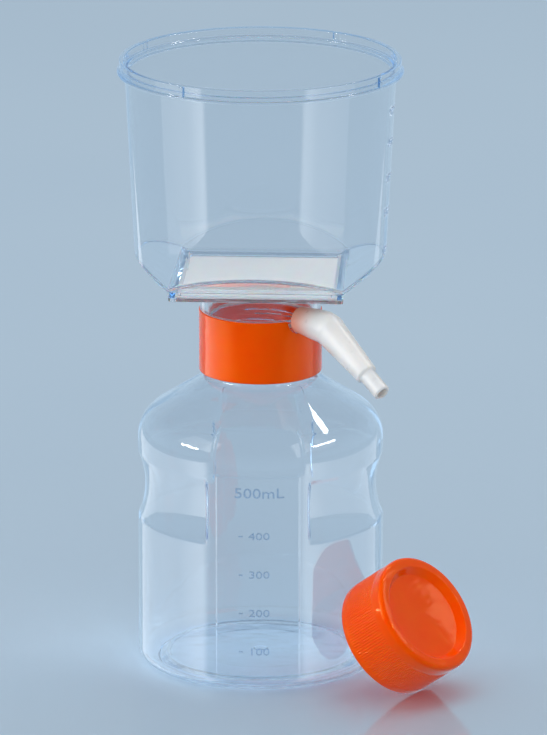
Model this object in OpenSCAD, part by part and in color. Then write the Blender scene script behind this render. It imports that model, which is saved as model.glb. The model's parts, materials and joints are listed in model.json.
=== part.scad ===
// Vacuum filtration unit: a funnel with a square membrane on a clear base,
// screwed onto a receiving bottle, with the bottle's own cap leaning beside it.
// Millimetres. The origin is on the bottle's axis, on the surface it stands on, +Z up.
// Azimuths are in degrees, seen from above, from the front (-Y) towards +X.

/* [Bottle] */
// Outside radius of the body
bottle_r = 47.2; // [45:0.1:52]
// Thickness of the moulded wall
bottle_wall = 1.5; // [1:0.1:2]
// Radius of the outer edge round the foot
foot_round = 6; // [4:0.5:8]
// Width of the flat ring that the bottle stands on
foot_ring_w = 1.8; // [1:0.1:3]
// Height that the base is pushed up inside the foot
base_rise = 2.2; // [1:0.1:4]
// Height at which the shoulder starts to turn in
shoulder_z = 90; // [88:0.5:110]
// Radius of the shoulder's outer edge
shoulder_round = 13.5; // [10:0.5:16]
// Slope of the shoulder, from level
shoulder_slope = 32.8; // [26:0.2:38]
// Radius of the softer shoulder edge over the front and back label panels
panel_round = 21; // [18:0.5:24]
// Half width of those softer edges
panel_half = 22; // [16:0.5:24]
// Height of the lower ledge of the side grips
grip_z = 58.2; // [40:0.2:60]
// Height of the side grips
grip_h = 25.8; // [18:0.2:28]
// Depth of the side grips
grip_depth = 2.7; // [1.5:0.1:4]
// Azimuth from each panel's centre at which a grip starts
grip_start = 25.2; // [20:0.2:40]
// Azimuth of the label panel, set by where the thread comes tight
bottle_turn = 2; // [-180:1:180]

/* [Neck] */
// Outside radius of the neck between its threads
neck_r = 21; // [18:0.1:23]
// Thickness of the neck
neck_wall = 1.9; // [1.4:0.1:2.4]
// Height of the neck above the shoulder
neck_h = 23.3; // [20:0.1:30]
// Room round the neck for its thread and the mating one
thread_room = 1.15; // [0.8:0.05:1.5]

/* [Seal] */
// Thickness of the ring seal on the neck's rim
seal_t = 1; // [0.8:0.1:2]
// Radial gap between the seal and the ring round it
seal_gap = 0.25; // [0.1:0.05:0.4]

/* [Adapter ring] */
// Thickness of the threaded wall, in the ring and in the cap
ring_wall = 1.55; // [1.2:0.05:2.5]
// Height of the ring
ring_h = 24.2; // [21:0.1:25]
// Thickness of its top flange
ring_flange = 1.8; // [1:0.1:2.5]
// Width of the flange, inwards from the ring's bore
flange_w = 2.45; // [2:0.05:4]

/* [Filter base] */
// Height of the vacuum chamber between the ring and the plate
chamber_h = 10.6; // [9:0.1:16]
// Thickness of the chamber's wall
chamber_wall = 3.2; // [2:0.1:4]
// Step from the ring's side in to the chamber's
chamber_step = 0.4; // [0.2:0.1:1]
// Half of the square plate's side
plate_half = 33.3; // [32:0.1:38]
// Thickness of the square plate
plate_t = 1.5; // [1.2:0.1:3]
// Rounding of the plate's and the flange's corners
corner_round = 1; // [0.5:0.1:2]
// Distance between the drain grooves under the membrane
groove_pitch = 3.2; // [2.4:0.1:6]
// Width of a drain groove
groove_w = 1.6; // [1:0.1:2]
// Depth of a drain groove
groove_d = 0.8; // [0.4:0.1:1]
// Bore radius of the outlet spout
spout_r = 3.2; // [2:0.1:5]
// Wall of the outlet spout
spout_wall = 1.2; // [0.8:0.1:2]
// Length of the outlet spout below the plate
spout_len = 5; // [3:0.1:7]

/* [Membrane] */
// Half of the side of the membrane's open area
open_half = 28.8; // [24:0.1:29.4]
// Width that the funnel clamps outside the open area
clamp_w = 2; // [1:0.1:2.4]
// Thickness of the membrane
membrane_t = 0.3; // [0.2:0.05:0.5]

/* [Funnel] */
// Height of the flange round the funnel's foot
flange_h = 2.2; // [1.8:0.1:4]
// Slope of the four facets above the flange, from level
facet_slope = 29; // [20:0.5:40]
// Outside radius of the cup just above the flange
cup_r = 47.75; // [46.5:0.05:54]
// Growth of the cup's radius for each unit of height
draft = 0.0508; // [0.02:0.002:0.07]
// Thickness of the cup's wall
cup_wall = 1.5; // [1.2:0.1:2]
// Height of the cup from the flange to the rim's bead
cup_h = 78.6; // [50:0.1:120]
// Height of the bead under the rim
bead_h = 1.1; // [0.8:0.1:2]
// Step from the rim's side out to the bead
bead_step = 0.9; // [0.5:0.1:1.5]
// Step from the cup's wall out to the rim
rim_step = 1.95; // [1:0.05:3]
// Height of the rim above the bead
rim_h = 4.2; // [3:0.1:8]
// Thickness of the rim
rim_wall = 2; // [1.2:0.1:2.5]
// Height of the ledge inside the rim, above the bead
ledge_h = 1.2; // [0.6:0.1:2]
// Width of each upright lug on the rim
lug_w = 2; // [1:0.1:4]
// How far a lug stands out
lug_out = 0.8; // [0.4:0.1:1.2]
// Azimuth of the first of the four lugs
lug_az = 60; // [0:1:89]

/* [Vacuum port] */
// Azimuth of the port
port_az = 43; // [30:1:60]
// Outside radius of the nipple
nipple_r = 3.4; // [2.8:0.1:3.6]
// Bore radius of the nipple
nipple_bore = 1.5; // [1:0.1:2]
// Length of the nipple outside the ring
nipple_len = 12; // [8:0.1:13]
// Thickness of the base under the nipple's bore, over the seal
port_floor = 0.4; // [0.3:0.1:1]
// Radius of the round pad that closes the ring's notch
pad_r = 5.5; // [4.6:0.1:6]
// Gap round the pad in the ring's notch, and over the seal
pad_gap = 0.1; // [0.05:0.05:0.3]

/* [Hose connector] */
// Gap between the connector's end and the ring
connector_gap = 0.3; // [0.2:0.1:1]
// Radial clearance of the connector on the nipple
nipple_fit = 0.05; // [0.01:0.01:0.1]
// Outside radius of the connector where it meets the ring
root_r = 5.15; // [4.6:0.05:6]
// Outside radius of the connector's elbow
elbow_r = 6.2; // [5.6:0.1:7]
// Distance from the ring to the elbow's centre
elbow_out = 16.4; // [15.5:0.1:20]
// Angle by which the elbow turns down
elbow_bend = 30.5; // [0:0.5:40]
// Length of the tapering arm
arm_len = 26.3; // [20:0.1:30]
// Outside radius of the arm's end
arm_end_r = 4.3; // [3.8:0.1:5]
// Outside radius of the hose tip
tip_r = 3.25; // [2.8:0.05:3.6]
// Length of the hose tip
tip_len = 10.9; // [8:0.1:14]
// Length of the sloping shoulder between the arm and the tip
tip_shoulder = 0.9; // [0.5:0.1:2]
// Length of the lead-in at the tip's end
tip_lead = 0.5; // [0.2:0.1:1]
// Bore radius of the connector
connector_bore = 2.2; // [1.6:0.1:2.4]

/* [Storage cap] */
// Height of the cap
cap_h = 23; // [20:0.1:27]
// Rounding of the cap's closed end
cap_round = 2.2; // [1:0.1:3]
// Width of the flat ring round the cap's recess
cap_face_w = 2.1; // [1.5:0.1:4]
// Depth of the recess in the closed end
cap_recess = 2.8; // [1.5:0.1:4]
// Width of the recess's sloping side
cap_recess_w = 2.2; // [1:0.1:3]
// Thickness of the closed end
cap_end_t = 1.4; // [1:0.1:2]
// Angle of the leaning cap's axis above level
cap_lean = 36; // [20:1:60]
// Azimuth at which the cap leans on the bottle
cap_az = 56.3; // [30:0.1:80]
// Gap between the leaning cap and the bottle
cap_gap = 0.1; // [0.05:0.05:0.5]

/* [Hidden] */
$fn = 96;

// Overlap that cutting tools run past a face
past = 1;

// Bottle: its side and its shoulder meet at a corner that both rounded edges touch
shoulder_turn = 90 - shoulder_slope;
corner_z = shoulder_z + shoulder_round * tan(shoulder_turn / 2);
function cone_z(r) = corner_z + (bottle_r - r) * tan(shoulder_slope);
neck_z = cone_z(neck_r);
rim_z = neck_z + neck_h;
mouth_r = neck_r - neck_wall;
foot_r = bottle_r - foot_round - foot_ring_w;
base_slope_w = 1.4 * base_rise;
grip_arc = (grip_h * grip_h / 4 + grip_depth * grip_depth) / (2 * grip_depth);
wall_angle = bottle_wall / bottle_r * 180 / PI;

// Ring and seal
ring_bore = neck_r + thread_room;
ring_r = ring_bore + ring_wall;
ring_mouth = ring_bore - flange_w;
ring_top = rim_z + seal_t + ring_flange;
ring_z = ring_top - ring_h;

// Filter base
chamber_r = ring_r - chamber_step;
plate_z = ring_top + chamber_h;
membrane_z = plate_z + plate_t;
seal_clear_z = rim_z + seal_t + pad_gap;
port_z = seal_clear_z + port_floor + nipple_bore;

// Funnel
flange_top = membrane_z + flange_h;
bead_z = flange_top + cup_h;
bead_r = cup_r + draft * cup_h;
rim_r = bead_r + rim_step;
funnel_top = bead_z + bead_h + rim_h;
facet_inner_z = flange_top + cup_wall / cos(facet_slope)
              - (plate_half - open_half) * tan(facet_slope);

// Hose connector
elbow_r_out = ring_r + elbow_out;

// Cap: its open rim stands on the floor at one point and touches the bottle at another
cap_bore = ring_bore;
cap_r = ring_r;
cap_out = bottle_r + cap_gap + cap_r * sin(cap_lean);
cap_lift = cap_r * cos(cap_lean);

// Turns a child that faces -Y to an azimuth
module at_azimuth(az) {
    rotate([0, 0, az]) children();
}

// Part of a turned shape, between two azimuths
module turned_sector(az_start, az_end) {
    rotate([0, 0, az_start - 90]) rotate_extrude(angle = az_end - az_start) children();
}

// Square with rounded corners, centred
module rounded_square(half, r) {
    square([2 * half, 2 * (half - r)], center = true);
    square([2 * (half - r), 2 * half], center = true);
    for (x = [-1, 1], y = [-1, 1])
        translate([x * (half - r), y * (half - r)]) circle(r);
}

// Half section of the bottle, drawn smaller by an inset for its cavity
module bottle_section(inset, floor_z, top_z, top_r) {
    side_r = bottle_r - inset;
    foot = foot_round - inset;
    edge = shoulder_round - inset;
    edge_x = bottle_r - shoulder_round;
    tangent = [edge_x + edge * cos(shoulder_turn), shoulder_z + edge * sin(shoulder_turn)];
    cone_top = tangent[1] + (tangent[0] - top_r) * tan(shoulder_slope);
    translate([0, floor_z]) square([side_r - foot, foot]);
    translate([side_r - foot, floor_z + foot]) circle(foot);
    translate([0, floor_z + foot]) square([side_r, shoulder_z - floor_z - foot]);
    translate([edge_x, shoulder_z]) circle(edge);
    polygon([[0, shoulder_z], [edge_x, shoulder_z], tangent, [top_r, cone_top], [0, cone_top]]);
    translate([0, cone_top - past]) square([top_r, top_z - cone_top + past]);
}

// Half section of what a side grip takes away, larger by the wall for the cavity
module grip_section(grow) {
    translate([bottle_r - grip_depth + grip_arc, grip_z + grip_h / 2]) circle(grip_arc + grow);
}

// Half section of what the softer edge over a label panel takes away
module panel_section(grow) {
    centre = [bottle_r - panel_round, corner_z - panel_round * tan(shoulder_turn / 2)];
    reach = panel_round + 9;
    far = reach / cos(shoulder_turn / 2);
    difference() {
        translate(centre) polygon([
            [0, 0],
            [reach, 0],
            [far * cos(shoulder_turn / 2), far * sin(shoulder_turn / 2)],
            [reach * cos(shoulder_turn), reach * sin(shoulder_turn)]
        ]);
        translate(centre) circle(panel_round - grow);
    }
}

// The two grips and the two panel edges, the same at the front and at the back
module bottle_relief(grow, spread) {
    for (side = [0, 180]) {
        turned_sector(side + grip_start - spread, side + 180 - grip_start + spread)
            grip_section(grow);
        turned_sector(side - panel_half - spread, side + panel_half + spread)
            panel_section(grow);
    }
}

module bottle() {
    color("aliceblue", 0.4) at_azimuth(bottle_turn) difference() {
        rotate_extrude() intersection() {
            bottle_section(0, 0, rim_z, neck_r);
            square([2 * bottle_r, 2 * rim_z]);
        }
        bottle_relief(0, 0);
        // hollow under the pushed-up base
        rotate_extrude() polygon([
            [0, -past], [foot_r, -past], [foot_r, 0], [foot_r - base_slope_w, base_rise],
            [0, base_rise]
        ]);
        bottle_cavity();
    }
}

// Inside of the bottle, a wall away from the outside all over
module bottle_cavity() {
    difference() {
        rotate_extrude() intersection() {
            bottle_section(bottle_wall, bottle_wall, rim_z + past, mouth_r);
            square([2 * bottle_r, 2 * rim_z]);
        }
        bottle_relief(bottle_wall, wall_angle);
        rotate_extrude() polygon([
            [0, 0], [foot_r + bottle_wall, 0], [foot_r + bottle_wall / 2, bottle_wall],
            [foot_r - base_slope_w + bottle_wall / 2, base_rise + bottle_wall],
            [0, base_rise + bottle_wall]
        ]);
    }
}

module neck_seal() {
    color("whitesmoke") translate([0, 0, rim_z]) difference() {
        cylinder(h = seal_t, r = ring_bore - seal_gap);
        translate([0, 0, -past]) cylinder(h = seal_t + 2 * past, r = ring_mouth + seal_gap);
    }
}

// Round bar along the port's axis, between two distances from the main axis
module port_bar(r, from, to) {
    at_azimuth(port_az) translate([0, -from, port_z]) rotate([90, 0, 0])
        cylinder(h = to - from, r = r);
}

module adapter_ring() {
    color("orangered") difference() {
        translate([0, 0, ring_z]) cylinder(h = ring_h, r = ring_r);
        translate([0, 0, ring_z - past]) cylinder(h = ring_h + past - ring_flange, r = ring_bore);
        translate([0, 0, ring_z]) cylinder(h = ring_h + past, r = ring_mouth);
        port_bar(pad_r + pad_gap, ring_mouth / 2, ring_r + past);
    }
}

// Pad under the chamber's wall that closes the ring's notch round the port,
// thick over the seal and thin beside the neck's thread
module port_pad() {
    intersection() {
        port_bar(pad_r, ring_mouth / 2, ring_r);
        rotate_extrude() {
            translate([chamber_r - chamber_wall, seal_clear_z])
                square([chamber_wall, port_z + pad_r - seal_clear_z]);
            translate([ring_bore + pad_gap, port_z - pad_r])
                square([chamber_r - ring_bore - pad_gap, 2 * pad_r]);
        }
    }
}

// Drain grooves that run across under the membrane, and the channel that joins them
module drain_grooves() {
    run = open_half - groove_w;
    count = floor(run / groove_pitch);
    for (i = [-count : count])
        translate([0, i * groove_pitch, membrane_z - groove_d / 2])
            cube([2 * run, groove_w, groove_d + 0.001], center = true);
    translate([0, 0, membrane_z - groove_d / 2])
        cube([groove_w, 2 * count * groove_pitch + groove_w, groove_d + 0.001], center = true);
}

module filter_base() {
    color("azure", 0.4) difference() {
        union() {
            translate([0, 0, plate_z]) linear_extrude(plate_t)
                rounded_square(plate_half, corner_round);
            translate([0, 0, ring_top]) difference() {
                cylinder(h = chamber_h, r = chamber_r);
                translate([0, 0, -past])
                    cylinder(h = chamber_h + past, r = chamber_r - chamber_wall);
            }
            translate([0, 0, plate_z - spout_len])
                cylinder(h = spout_len, r = spout_r + spout_wall);
            port_pad();
            port_bar(nipple_r, ring_bore + pad_gap, ring_r + nipple_len);
        }
        drain_grooves();
        translate([0, 0, plate_z - spout_len - past])
            cylinder(h = spout_len + plate_t + 2 * past, r = spout_r);
        port_bar(nipple_bore, ring_mouth - past, ring_r + nipple_len + past);
    }
}

module membrane() {
    half = open_half + clamp_w;
    color("white") translate([-half, -half, membrane_z]) cube([2 * half, 2 * half, membrane_t]);
}

// Round cup cut off by four sloping facets that rise from the sides of a square
module faceted_cup(r_low, half, facet_z, top_z, slot_wall) {
    tool = 4 * cup_r;
    difference() {
        translate([0, 0, facet_z])
            cylinder(h = top_z - facet_z, r1 = r_low, r2 = r_low + draft * (top_z - facet_z));
        for (az = [0 : 90 : 270])
            at_azimuth(az) translate([0, -half, facet_z]) rotate([-facet_slope, 0, 0])
                translate([-tool / 2, -tool, -tool]) cube([tool, tool + slot_wall, tool]);
    }
}

module funnel_rim() {
    rotate_extrude() {
        translate([bead_r - cup_wall, bead_z])
            square([rim_step + cup_wall + bead_step, bead_h]);
        translate([bead_r - cup_wall, bead_z])
            square([rim_step + cup_wall, bead_h + ledge_h]);
        translate([rim_r - rim_wall, bead_z]) square([rim_wall, bead_h + rim_h]);
    }
}

module funnel_lugs() {
    for (az = [lug_az : 90 : lug_az + 270])
        at_azimuth(az) translate([-lug_w / 2, -rim_r - lug_out, bead_z + bead_h / 2])
            cube([lug_w, lug_out + rim_wall / 2, bead_h / 2 + rim_h - 0.4]);
}

module funnel() {
    inner_half = open_half;
    color("azure", 0.4) {
        difference() {
            union() {
                translate([0, 0, membrane_z]) linear_extrude(flange_h)
                    rounded_square(plate_half, corner_round);
                faceted_cup(cup_r, plate_half, flange_top, bead_z + bead_h / 2, 0);
            }
            faceted_cup(cup_r - cup_wall + draft * (facet_inner_z - flange_top), inner_half,
                        facet_inner_z, funnel_top + past, 0);
            translate([-inner_half, -inner_half, membrane_z - past])
                cube([2 * inner_half, 2 * inner_half, facet_inner_z - membrane_z + past + 0.01]);
            // rebate that clamps the membrane's edge
            translate([-inner_half - clamp_w, -inner_half - clamp_w, membrane_z - past])
                cube([2 * (inner_half + clamp_w), 2 * (inner_half + clamp_w), membrane_t + past]);
        }
        funnel_rim();
        funnel_lugs();
    }
}

// Follows the connector: out to the elbow, then down along the arm
module along_connector() {
    at_azimuth(port_az) translate([0, -elbow_r_out, port_z]) rotate([90 + elbow_bend, 0, 0])
        children();
}

module hose_tip() {
    cylinder(h = tip_shoulder, r1 = arm_end_r, r2 = tip_r);
    cylinder(h = tip_len - tip_lead, r = tip_r);
    translate([0, 0, tip_len - tip_lead]) cylinder(h = tip_lead, r1 = tip_r, r2 = tip_r - tip_lead);
}

module hose_connector() {
    start = ring_r + connector_gap;
    color("floralwhite") difference() {
        union() {
            at_azimuth(port_az) translate([0, -start, port_z]) rotate([90, 0, 0])
                cylinder(h = elbow_r_out - start, r1 = root_r, r2 = elbow_r);
            at_azimuth(port_az) translate([0, -elbow_r_out, port_z]) sphere(elbow_r);
            along_connector() {
                cylinder(h = arm_len, r1 = elbow_r, r2 = arm_end_r);
                translate([0, 0, arm_len]) hose_tip();
            }
        }
        port_bar(nipple_r + nipple_fit, start - past, ring_r + nipple_len + connector_gap);
        port_bar(connector_bore, start, elbow_r_out);
        at_azimuth(port_az) translate([0, -elbow_r_out, port_z]) sphere(connector_bore);
        along_connector() cylinder(h = arm_len + tip_len + past, r = connector_bore);
    }
}

// Half section of the cap, open end down
module cap_section() {
    face_r = cap_r - cap_round - cap_face_w;
    floor_r = face_r - cap_recess_w;
    inner_top = cap_h - cap_end_t;
    difference() {
        union() {
            square([cap_r, cap_h - cap_round]);
            square([cap_r - cap_round, cap_h]);
            translate([cap_r - cap_round, cap_h - cap_round]) circle(cap_round);
        }
        // recess in the closed end
        polygon([[-past, cap_h + past], [face_r, cap_h + past], [face_r, cap_h],
                 [floor_r, cap_h - cap_recess], [-past, cap_h - cap_recess]]);
        // inside, with the recess standing into it as a plug
        polygon([[-past, -past], [cap_bore, -past], [cap_bore, inner_top],
                 [face_r + cap_end_t, inner_top],
                 [floor_r + cap_end_t, inner_top - cap_recess],
                 [-past, inner_top - cap_recess]]);
        translate([-past - 0.001, -past]) square([past, cap_h + 2 * past]);
    }
}

module storage_cap() {
    color("darkorange") at_azimuth(cap_az) translate([0, -cap_out, cap_lift])
        rotate([90 - cap_lean, 0, 0]) rotate_extrude() cap_section();
}

bottle();
neck_seal();
adapter_ring();
filter_base();
membrane();
funnel();
hose_connector();
storage_cap();
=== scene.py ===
"""Looks of a vacuum filtration unit: clear funnel and bottle, orange ring and cap, milky hose connector.

Sizes are in millimetres until a mesh is made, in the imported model's own frame. Azimuths are in degrees, seen
from above, from the front (-Y) towards +X.
"""
import json
import math

import bmesh
import bpy
from mathutils import Matrix, Vector

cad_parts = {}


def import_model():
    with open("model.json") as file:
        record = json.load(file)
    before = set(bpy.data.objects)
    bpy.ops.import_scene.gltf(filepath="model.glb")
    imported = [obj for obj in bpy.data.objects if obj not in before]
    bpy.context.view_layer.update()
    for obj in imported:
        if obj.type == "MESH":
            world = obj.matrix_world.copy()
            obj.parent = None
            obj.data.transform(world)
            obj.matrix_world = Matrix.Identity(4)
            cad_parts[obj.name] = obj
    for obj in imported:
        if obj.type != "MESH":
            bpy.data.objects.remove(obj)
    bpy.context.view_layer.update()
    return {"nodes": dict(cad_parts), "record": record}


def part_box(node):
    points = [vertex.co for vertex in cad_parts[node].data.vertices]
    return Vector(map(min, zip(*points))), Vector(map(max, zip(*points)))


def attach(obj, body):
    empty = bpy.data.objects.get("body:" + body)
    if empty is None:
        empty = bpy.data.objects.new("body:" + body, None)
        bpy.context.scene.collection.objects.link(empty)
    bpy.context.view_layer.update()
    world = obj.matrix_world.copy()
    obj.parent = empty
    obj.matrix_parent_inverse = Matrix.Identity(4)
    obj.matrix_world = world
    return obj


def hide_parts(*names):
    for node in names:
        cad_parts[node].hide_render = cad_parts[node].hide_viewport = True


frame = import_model()

MM = 0.001
WELD = 1e-7  # metres, within which two points are one


def node_box(node):
    """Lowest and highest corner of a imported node, in millimetres."""
    return tuple(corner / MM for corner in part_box(node))


def mount_axis(name):
    """Direction of one of the record's mounts."""
    return Vector(next(mount["axis"] for mount in frame["record"]["mounts"] if mount["name"] == name))


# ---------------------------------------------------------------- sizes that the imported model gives
BODY_R = node_box("bottle")[1].x
RIM_Z = node_box("bottle")[1].z
SEAL_R = node_box("neck_seal")[1].x
SEAL_TOP = node_box("neck_seal")[1].z
RING_R = node_box("adapter_ring")[1].x
RING_LOW = node_box("adapter_ring")[0].z
RING_TOP = node_box("adapter_ring")[1].z
PLATE_HALF = node_box("filter_base")[1].x
MEMBRANE_Z = node_box("filter_base")[1].z
MEMBRANE_HALF = node_box("membrane")[1].x
MEMBRANE_TOP = node_box("membrane")[1].z
FUNNEL_TOP = node_box("funnel")[1].z
BEAD_OUT = node_box("funnel")[1].x
TIP_AXIS = mount_axis("hose_tip")
PORT_AZ = math.degrees(math.atan2(TIP_AXIS.x, -TIP_AXIS.y))
BEND = math.degrees(math.asin(-TIP_AXIS.z))

# ---------------------------------------------------------------- sizes that repeat the part's own
# bottle: body and base. The base's points are (radius, height).
WALL = 1.5
FOOT_ROUND = 6.0
FOOT_RING_W = 1.8
BASE_UNDER = ((0, 2.35), (2.2, 2.35), (3.0, 2.6), (24, 2.3), (35.2, 1.9))
BASE_INSIDE = ((39.0, 1.75), (36.6, 3.5), (24, 3.75), (0, 3.9))
BOTTLE_TURN = 2.0

# bottle: shoulder, label panels and side grips. Widths round the body are in degrees from a panel's middle.
SHOULDER_Z = 90.0
SHOULDER_ROUND = 13.5
SHOULDER_SLOPE = 32.8
SLOPE_RADII = (36.0, 33.0, 30.0, 27.0)
PANEL_ROUND = 21.0
PANEL_HALF = 22.0
LABEL_HALF = 19.6
LABEL_STEP = 0.12
LABEL_LOW = 9
LABEL_HIGH = 92
LABEL_FADE = 5
GRIP_Z = 58.2
GRIP_H = 25.8
GRIP_DEPTH = 2.7
GRIP_START = 25.2
GRIP_END_W = 1.8
GRIP_EDGE = 0.09
GRIP_EDGE_OUT = 1.8
GRIP_EDGE_IN = 2.6

# bottle: neck
NECK_R = 21.0
NECK_WALL = 1.9
NECK_ROUND = 3.2
NECK_ROUND_IN = 4.5
NECK_LIP = 0.8

# adapter ring
SEAL_GAP = 0.25
RING_FLANGE = 1.8
FLANGE_W = 2.45
RING_EDGE = 1.4
RING_LEAD = 0.5
RIPPLE_Z = 127.8
RIPPLE_W = 1.1
RIPPLE_D = 0.06

# filter base
CHAMBER_WALL = 3.2
CHAMBER_STEP = 0.4
PLATE_T = 1.5
CORNER_ROUND = 1.0
SPOUT_R = 3.2
SPOUT_WALL = 1.2
SPOUT_LEN = 5.0
GROOVE_PITCH = 3.2
GROOVE_W = 1.6
GROOVE_D = 0.8
PAD_R = 5.5
PAD_GAP = 0.1
PAD_SINK = 0.06
PORT_LIFT = 0.4
NIPPLE_R = 3.4
NIPPLE_BORE = 1.5
NIPPLE_LEN = 12.0
NIPPLE_LEAD = 0.4

# funnel
CLAMP_W = 2.0
FLANGE_H = 2.2
FACET_SLOPE = 29.0
DRAFT = 0.0508
CUP_R = 47.75
CUP_WALL = 1.5
BEAD_H = 1.1
BEAD_STEP = 0.9
RIM_STEP = 1.95
RIM_H = 4.2
RIM_WALL = 2.0
LEDGE_H = 1.2
LUG_W = 2.0
LUG_OUT = 0.8
LUG_DROP = 0.4
LUG_AZ = 60.0
SEAM = 0.04  # height of the funnel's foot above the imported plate: the air under it shows as the joint line
PRESSED = 0.02  # how far the clamped membrane sinks into the foot and the plate, to show through them

# hose connector
CONNECTOR_GAP = 0.3
NIPPLE_FIT = 0.05
ROOT_R = 5.15
ROOT_LEN = 2.0
ELBOW_R = 6.2
ELBOW_OUT = 16.4
ELBOW_BEND = 9.0
ARM_LEN = 26.3
ARM_END_R = 4.3
TIP_R = 3.25
TIP_LEN = 10.9
TIP_SHOULDER = 0.9
TIP_LEAD = 0.5
CONNECTOR_BORE = 2.2

# storage cap
CAP_H = 23.0
CAP_ROUND = 2.2
CAP_FACE_W = 2.1
CAP_RECESS = 2.8
CAP_RECESS_W = 2.2
CAP_END_T = 1.4
CAP_DISH = 0.5
CAP_LEAN = 36.0
CAP_AZ = 56.3
CAP_GAP = 0.1
CAP_EDGE = 4.6
CAP_LIP = 1.5
RIBS = 144
RIB_D = 0.24
RIBS_LOW = 2.6
RIBS_HIGH = CAP_H - 5.6

# thread of the neck, and of the ring and the cap that fit it. Its run-out is in turns.
PITCH = 4.233
THREAD_H = 0.95
THREAD_W = 2.2
THREAD_FLANK = 0.55
THREAD_TURNS = 1.6
THREAD_RUNOUT = 0.08
NECK_THREAD_DROP = 3.2
CAP_THREAD_DROP = 4.4

# graduations: heights of their middles, and how far they stand proud
MARK_AZ = 2.6
MARK_100 = 16.6
MARK_STEP = 15.35
MARK_500 = 79.6
MARK_H = 0.3
MARK_GAP = 0.02
FUNNEL_MARK_AZ = 90.0
FUNNEL_MARKS = (165.4, 180.8, 194.0, 208.0, 220.4)
FIGURE_TURN = 8.5  # degrees between a line and its figures
FIGURE_H = 4.1
FIGURE_STRETCH = 1.35
TOP_FIGURE_H = 5.6
TOP_FIGURE_STRETCH = 1.25
FUNNEL_FIGURE_H = 4.0
FUNNEL_FIGURE_STRETCH = 1.1

# derived
SHOULDER_TURN = math.radians(90 - SHOULDER_SLOPE)
CORNER_Z = SHOULDER_Z + SHOULDER_ROUND * math.tan(SHOULDER_TURN / 2)
NECK_THREAD_Z = RIM_Z - NECK_THREAD_DROP - THREAD_TURNS * PITCH
RING_BORE = SEAL_R + SEAL_GAP
RING_MOUTH = RING_BORE - FLANGE_W
CHAMBER_R = RING_R - CHAMBER_STEP
CHAMBER_IN = CHAMBER_R - CHAMBER_WALL
PLATE_Z = MEMBRANE_Z - PLATE_T
OPEN_HALF = MEMBRANE_HALF - CLAMP_W
FLANGE_TOP = MEMBRANE_Z + FLANGE_H
BEAD_Z = FUNNEL_TOP - RIM_H - BEAD_H
RIM_R = BEAD_OUT - BEAD_STEP
LUG_HALF = math.degrees(LUG_W / 2 / RIM_R)
CUP_TOP_R = RIM_R - RIM_STEP
FACET_RISE = math.tan(math.radians(FACET_SLOPE))
FACET_WALL_H = CUP_WALL / math.cos(math.radians(FACET_SLOPE))
FACET_INNER_Z = FLANGE_TOP + FACET_WALL_H - (PLATE_HALF - OPEN_HALF) * FACET_RISE
PORT_Z = SEAL_TOP + PAD_GAP + PORT_LIFT + NIPPLE_BORE
PORT_OUT = RING_R + NIPPLE_LEN
ARM_SEAT = NIPPLE_R + NIPPLE_FIT
ARM_BEND = ELBOW_BEND * math.tan(math.radians(BEND) / 2)
ARM_START = CONNECTOR_GAP - ELBOW_OUT
ARM_FULL = ARM_LEN + TIP_LEN

# the camera's place in metres, its lens in millimetres and its direction in degrees
CAMERA_AT = (0.1612, -2.7954, 0.8994)
CAMERA_LENS = 370.14
CAMERA_HEADING = -3.198
CAMERA_DOWN = 15.623

SHARP = 38  # degrees between faces, above which a cut piece's edge is sharp
LATHED = 50  # the same of a turned piece, whose edges are rounded in its outline
LETTERED = 30  # the same of raised figures


# ---------------------------------------------------------------- shapes
def smooth(t):
    """0 below 0, 1 above 1, and a soft step between them."""
    t = min(1.0, max(0.0, t))
    return t * t * (3 - 2 * t)


def window(x, low, high, blend):
    """1 from low to high and 0 outside, with soft steps of width blend centred on both."""
    return smooth((x - low) / blend + 0.5) * smooth((high - x) / blend + 0.5)


def turned(azimuth, mark):
    """Degrees from mark to azimuth, from -180 to 180."""
    return (azimuth - mark + 180) % 360 - 180


def steps(start, end, count):
    """count even steps from start up to, and without, end."""
    return [start + (end - start) * i / count for i in range(count)]


def from_middle(azimuth, sides):
    """Degrees from the middle of the nearest of some even sides, of which one faces the front."""
    return abs(turned(sides * azimuth, 0)) / sides


def azimuths(step, marks=(), spread=2.0, fine=0.3):
    """Azimuths round the axis every step degrees, and every fine degrees near each mark."""
    count = round(spread / fine)
    near = sorted((mark + i * fine) % 360 for mark in marks for i in range(-count, count + 1))
    even = [a for a in steps(0, 360, round(360 / step)) if all(abs(turned(a, n)) > fine / 2 for n in near)]
    return sorted(set(round(a, 5) for a in near + even))


def rounded(points, radii, count=4):
    """(x, y) points of a line through points with an arc at each inner one: always the same number."""
    line = [Vector(points[0])]
    for before, corner, after, radius in zip(points, points[1:], points[2:], radii):
        before, corner, after = Vector(before), Vector(corner), Vector(after)
        a, b = before - corner, after - corner
        if radius <= 0 or min(a.length, b.length) < 1e-6:
            line += [corner] * (count + 1)
            continue
        half = a.angle(b) / 2
        cut = min(radius / max(math.tan(half), 1e-3), 0.48 * a.length, 0.48 * b.length)
        a, b = corner + a.normalized() * cut, corner + b.normalized() * cut
        line += [a * (1 - t) ** 2 + corner * 2 * t * (1 - t) + b * t * t
                 for t in (i / count for i in range(count + 1))]
    line.append(Vector(points[-1]))
    return [(point.x, point.y) for point in line]


def around(azimuth, r, z):
    """The point at radius r and height z, at an azimuth."""
    angle = math.radians(azimuth)
    return Vector((r * math.sin(angle), -r * math.cos(angle), z))


def new_object(name, data):
    """An object in the scene, with the given data."""
    made = bpy.data.objects.new(name, data)
    bpy.context.scene.collection.objects.link(made)
    return made


def mesh_of(name, bm):
    """A mesh out of a bmesh, which is thrown away."""
    mesh = bpy.data.meshes.new(name)
    bm.to_mesh(mesh)
    bm.free()
    return mesh


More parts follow.
